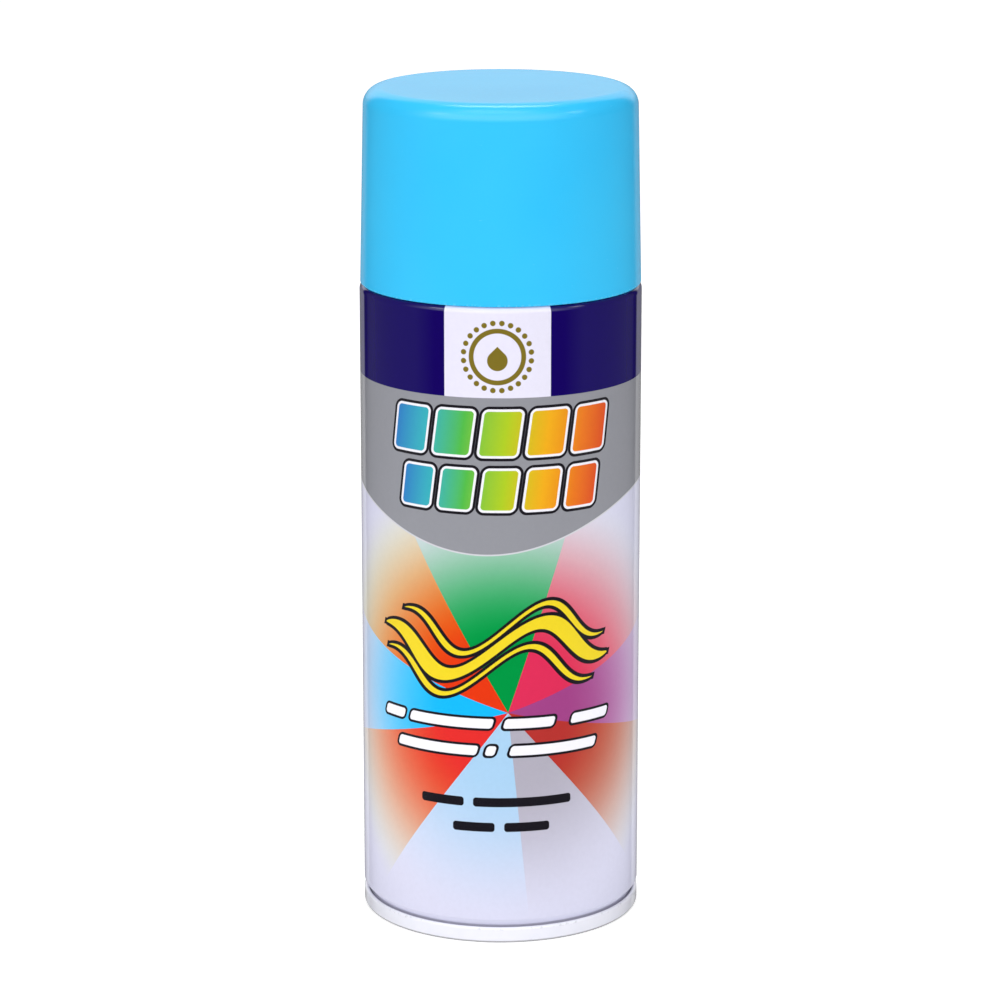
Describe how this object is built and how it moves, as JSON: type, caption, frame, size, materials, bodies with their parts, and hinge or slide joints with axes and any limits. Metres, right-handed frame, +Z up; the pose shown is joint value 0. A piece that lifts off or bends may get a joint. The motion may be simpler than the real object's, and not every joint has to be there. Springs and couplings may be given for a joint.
{
  "type": "aerosol spray can",
  "caption": "Round tinplate spray paint can with a push-on overcap, a sprung spray valve with its button and dip tube, and loose mixing balls.",
  "frame": {"origin": "middle of the foot, on the surface that the can stands on", "axes": "+Z up the can's axis, -Y towards the front of the label and the spray nozzle"},
  "size_m": [0.065, 0.065, 0.1948],
  "materials": {
    "cap_plastic": "semi-gloss moulded polypropylene",
    "printed_tinplate": "offset printed and varnished",
    "white_tinplate": "white lacquer",
    "bare_tinplate": "bright tinplate under clear lacquer",
    "seam_compound": "matt",
    "gasket_rubber": "matt",
    "valve_plastic": "natural acetal",
    "spring_steel": "drawn stainless wire",
    "tube_plastic": "natural polyethylene",
    "button_plastic": "satin moulded polypropylene",
    "nozzle_plastic": "moulded acetal",
    "ball_steel": "polished carbon steel"
  },
  "bodies": {
    "can": {"can_body": "printed_tinplate", "top_cone": "bare_tinplate", "bottom_end": "white_tinplate", "top_seam_seal": "seam_compound", "bottom_seam_seal": "seam_compound", "mounting_cup": "bare_tinplate", "cup_gasket": "gasket_rubber", "stem_gasket": "gasket_rubber", "valve_housing": "valve_plastic", "valve_spring": "spring_steel", "dip_tube": "tube_plastic"},
    "stem": {"valve_stem": "valve_plastic"},
    "button": {"actuator": "button_plastic", "nozzle_insert": "nozzle_plastic"},
    "cap": {"overcap": "cap_plastic"},
    "ball_1": {"mixing_ball_1": "ball_steel"},
    "ball_2": {"mixing_ball_2": "ball_steel"}
  },
  "joints": [
    {"name": "cap_lift", "type": "slide", "parent": "can", "child": "cap", "axis": [0, 0, 1], "range_m": [0, 0.07]},
    {"name": "button_press", "type": "slide", "parent": "can", "child": "stem", "axis": [0, 0, -1], "range_m": [0, 0.0015], "stiffness_N_per_m": 5000, "deforming": ["valve_spring"]},
    {"name": "button_turn", "type": "hinge", "parent": "stem", "child": "button", "pos_m": [0, 0, 0.176], "axis": [0, 0, 1], "continuous": true},
    {"name": "mixing_ball_1_lift", "type": "slide", "parent": "can", "child": "ball_1", "axis": [0, 0, 1], "range_m": [0, 0.13]},
    {"name": "mixing_ball_2_roll", "type": "hinge", "parent": "can", "child": "ball_2", "pos_m": [0, 0, 0.00974], "axis": [0, 0, 1], "range_deg": [-160, 160]}
  ]
}
